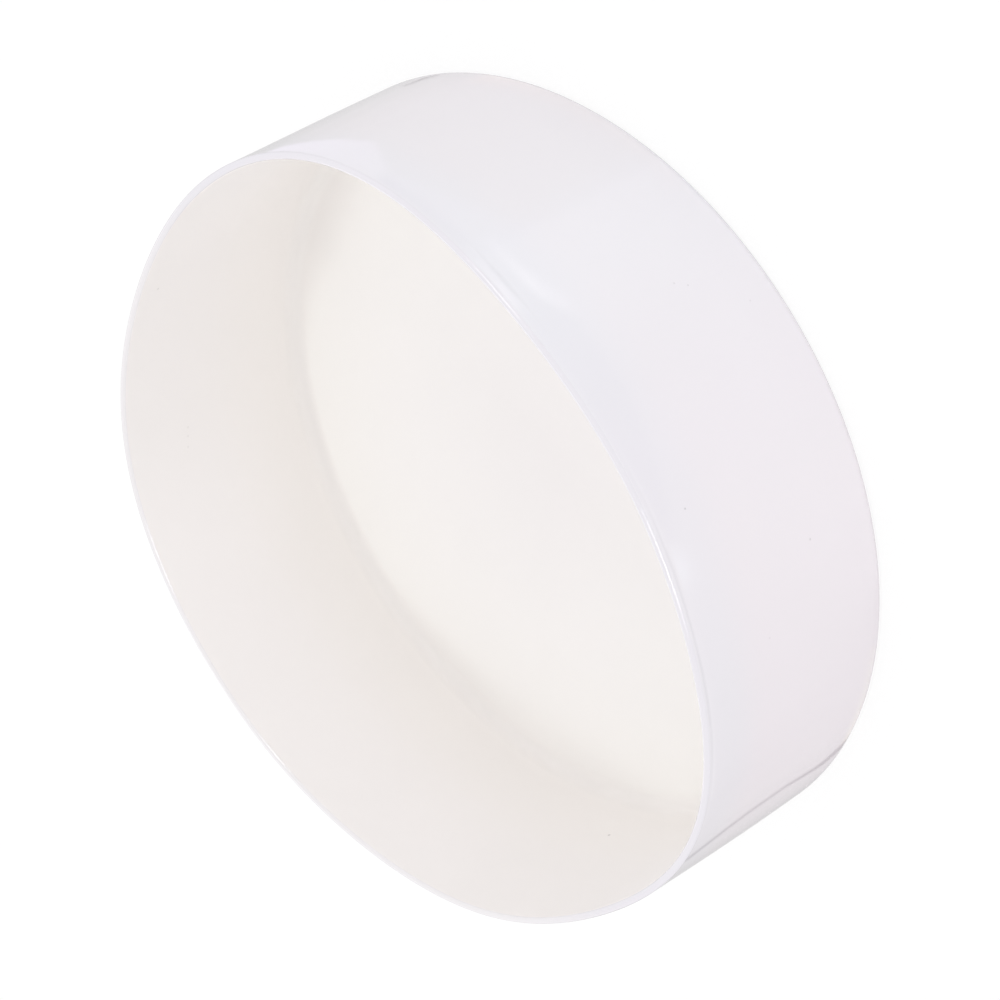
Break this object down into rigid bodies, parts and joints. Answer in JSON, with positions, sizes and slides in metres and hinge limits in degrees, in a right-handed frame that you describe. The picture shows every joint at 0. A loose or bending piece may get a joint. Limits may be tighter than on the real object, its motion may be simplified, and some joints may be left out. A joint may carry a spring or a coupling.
{
  "type": "pipe end cap",
  "caption": "Soft white push-on end cap for a round pipe: a shallow moulded cup with a closed flat end and a thin mouth sagged slightly out of round.",
  "frame": {"origin": "centre of the closed end's outer face", "axes": "+Z along the pipe seat's axis, out of the open mouth; the picture's camera looks from -Y and above"},
  "size_m": [0.164, 0.164, 0.0495],
  "materials": {
    "soft_vinyl": "glossy outside, satin inside"
  },
  "bodies": {
    "root": {"end_cap": "soft_vinyl"}
  },
  "joints": []
}
